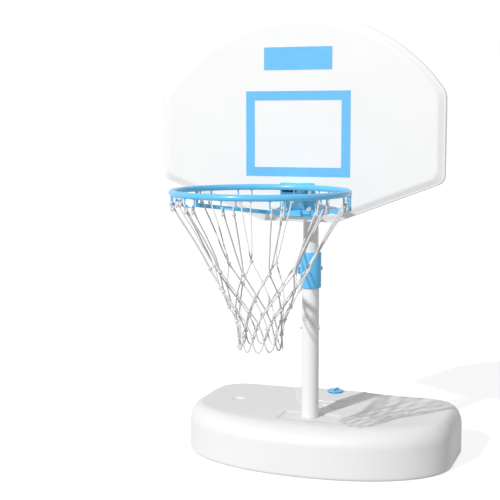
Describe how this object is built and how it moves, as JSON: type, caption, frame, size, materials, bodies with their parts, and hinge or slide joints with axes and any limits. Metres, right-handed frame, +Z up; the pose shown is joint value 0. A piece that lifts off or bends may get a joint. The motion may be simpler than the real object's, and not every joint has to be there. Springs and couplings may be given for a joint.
{
  "type": "pool basketball hoop",
  "caption": "Poolside basketball hoop: fillable base tank, two-part telescoping post, fan-shaped backboard with printed target, ring rim with wire hooks and a cord net.",
  "frame": {"origin": "on the ground, under the post's axis", "axes": "+Z up; -Y is the side that the board and rim face; +X is to the right of someone who faces the board"},
  "size_m": [0.868, 1.0772, 1.381],
  "materials": {
    "tank_plastic": "satin moulded, white",
    "board_plastic": "smooth moulded, white",
    "white_paint": "semi-gloss powder coat, white",
    "blue_paint": "gloss powder coat, light blue",
    "blue_plastic": "smooth moulded, light blue",
    "blue_print": "printed film, light blue",
    "black_plastic": "satin moulded, black",
    "seal_rubber": "matt, black",
    "zinc": "zinc plated",
    "net_cord": "braided cord, white"
  },
  "bodies": {
    "base": {"base_tank": "tank_plastic", "lower_post": "white_paint", "lower_post_foot_plug": "black_plastic", "stop_bolt": "zinc", "stop_nut": "zinc", "clamp_sleeve": "blue_plastic", "clamp_nut": "zinc"},
    "carriage": {"upper_post": "white_paint", "upper_post_glide": "black_plastic", "upper_post_top_plug": "black_plastic", "backboard": "board_plastic", "target_print": "blue_print", "badge_bar": "blue_print", "lower_strap": "white_paint", "lower_strap_bolt": "zinc", "lower_strap_nut": "zinc", "upper_strap": "white_paint", "upper_strap_bolt": "zinc", "upper_strap_nut": "zinc", "rim_bolt_lower_left": "zinc", "rim_bolt_lower_right": "zinc", "rim_bolt_upper_left": "zinc", "rim_bolt_upper_right": "zinc", "rim_nut_lower_left": "zinc", "rim_nut_lower_right": "zinc", "rim_nut_upper_left": "zinc", "rim_nut_upper_right": "zinc", "board_screw_lower_left": "zinc", "board_screw_lower_right": "zinc", "board_screw_upper_left": "zinc", "board_screw_upper_right": "zinc", "rim_ring": "blue_paint", "rim_bracket": "blue_paint", "rim_brace": "blue_paint", "net_hook_01": "blue_paint", "net_hook_02": "blue_paint", "net_hook_03": "blue_paint", "net_hook_04": "blue_paint", "net_hook_05": "blue_paint", "net_hook_06": "blue_paint", "net_hook_07": "blue_paint", "net_hook_08": "blue_paint", "net_hook_09": "blue_paint", "net_hook_10": "blue_paint", "net_hook_11": "blue_paint", "net_hook_12": "blue_paint", "net": "net_cord"},
    "knob": {"clamp_knob": "blue_plastic", "clamp_stud": "zinc"},
    "cap_seal": {"cap_gasket": "seal_rubber"},
    "cap": {"fill_cap": "blue_plastic"}
  },
  "joints": [
    {"name": "height_slide", "type": "slide", "parent": "base", "child": "carriage", "axis": [0, 0, 1], "range_m": [0, 0.12]},
    {"name": "knob_turn", "type": "hinge", "parent": "base", "child": "knob", "pos_m": [0, 0.0442, 0.615], "axis": [1, 0, 0], "range_deg": [0, 720]},
    {"name": "cap_rise", "type": "slide", "parent": "base", "child": "cap_seal", "axis": [0, 0, 1], "range_m": [0, 0.0046]},
    {"name": "cap_turn", "type": "hinge", "parent": "cap_seal", "child": "cap", "pos_m": [0, 0.292, 0.162], "axis": [0, 0, 1], "range_deg": [0, 540]}
  ],
  "couplings": [
    {"joint": "cap_rise", "follows": "cap_turn", "m_per_rad": 0.00047746}
  ]
}
